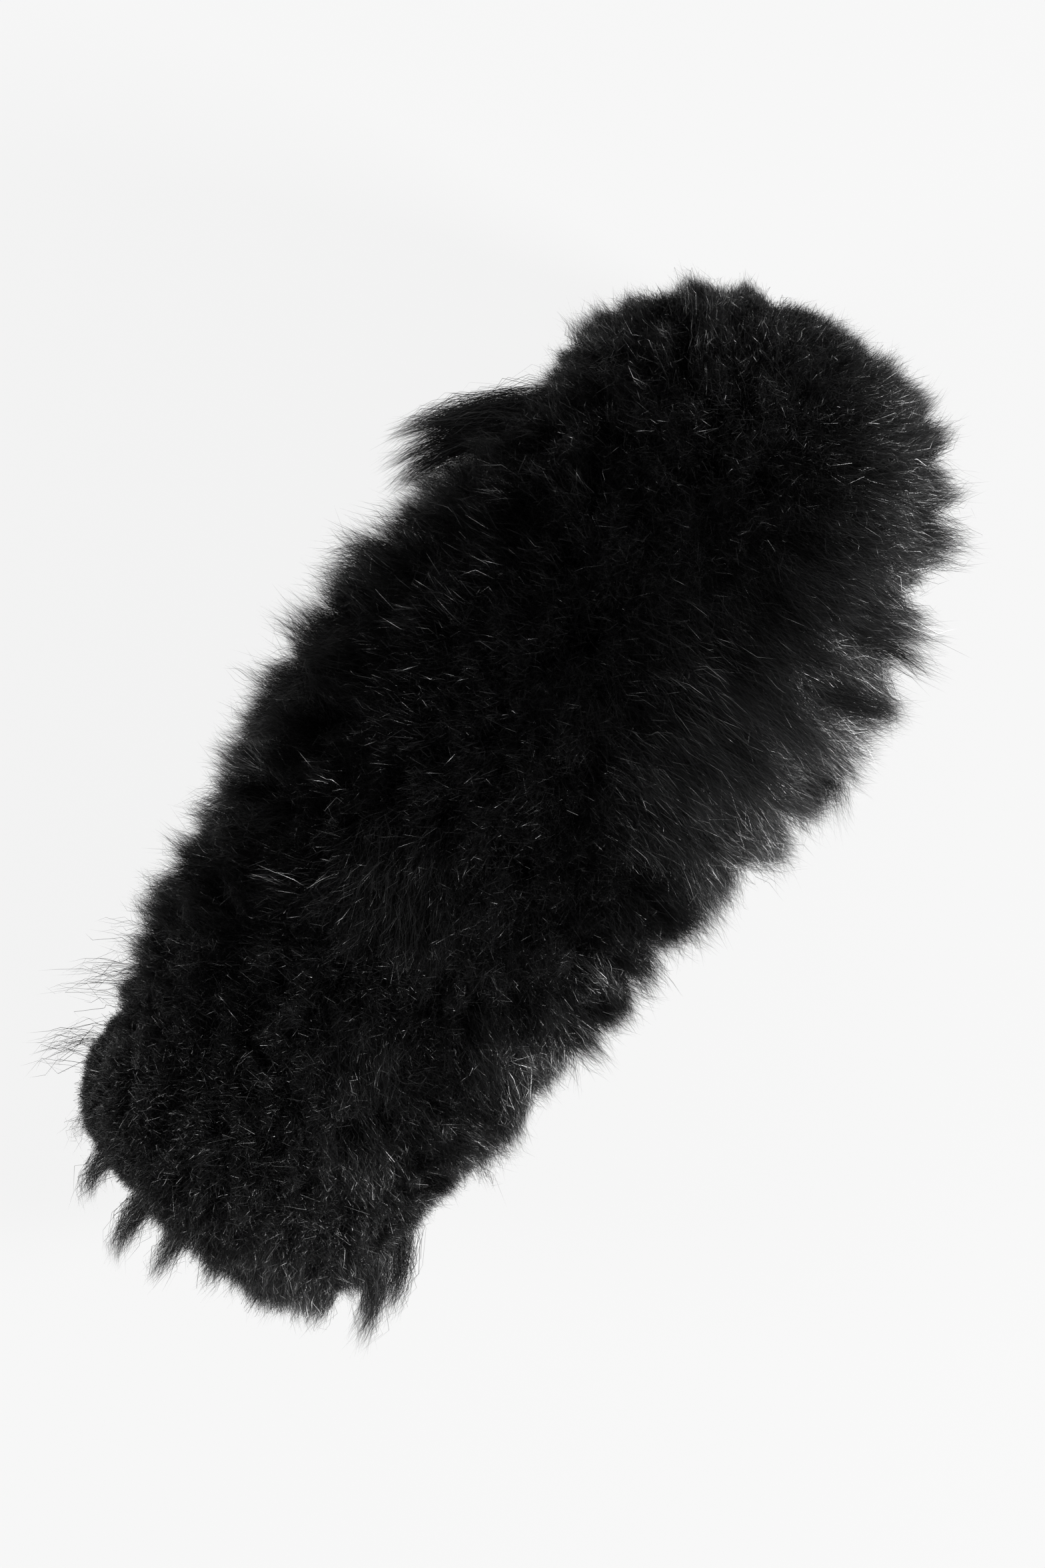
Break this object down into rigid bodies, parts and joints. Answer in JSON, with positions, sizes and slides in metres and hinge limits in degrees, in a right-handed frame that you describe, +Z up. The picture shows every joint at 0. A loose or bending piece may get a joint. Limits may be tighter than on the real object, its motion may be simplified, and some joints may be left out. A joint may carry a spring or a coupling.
{
  "type": "furry microphone windscreen",
  "caption": "Long-pile furry windscreen for a short shotgun microphone: removable fur jacket over a foam-filled ribbed cage with a rubber gripping collar.",
  "frame": {"origin": "centre of the microphone bore's rear mouth, where the straight bore begins, level with the clamp ring's rear face", "axes": "+X along the microphone bore towards the nose, +Z up from the surface that the windscreen lies on, Y across"},
  "size_m": [0.247, 0.109, 0.0985],
  "materials": {
    "fur_fabric": "long black acrylic pile",
    "seam_tape": "oversewn woven edge",
    "liner_knit": "fine knitted backing",
    "hem_tape": "folded woven tape",
    "elastic": "round elastic",
    "moulded_plastic": "fine moulded texture",
    "cage_plastic": "satin moulded",
    "screw_steel": "plain self-tapping screws",
    "soft_rubber": "soft moulded rubber",
    "open_foam": "open-cell foam",
    "closed_foam": "closed-cell foam",
    "sleeve_mesh": "slotted thin tube"
  },
  "bodies": {
    "core": {"clamp_ring": "moulded_plastic", "clamp_screws": "screw_steel", "gripper_collar": "soft_rubber", "base_cup": "moulded_plastic", "cage_rear_pod": "cage_plastic", "cage_joint_ring": "cage_plastic", "cage_front_pod": "cage_plastic", "cage_nose_dome": "cage_plastic", "foam_body": "open_foam", "foam_nose": "open_foam", "foam_gasket": "closed_foam", "bore_sleeve": "sleeve_mesh", "bore_end_pad": "closed_foam"},
    "jacket": {"fur_nose_cap": "fur_fabric", "fur_body_wrap": "fur_fabric", "fur_tail_skirt": "fur_fabric", "nose_seam": "seam_tape", "tail_seam": "seam_tape", "spine_seam": "seam_tape", "jacket_liner": "liner_knit", "hem_binding": "hem_tape", "hem_elastic": "elastic"}
  },
  "joints": [
    {"name": "jacket_slide", "type": "slide", "parent": "core", "child": "jacket", "axis": [1, 0, 0], "range_m": [0, 0.26]}
  ]
}
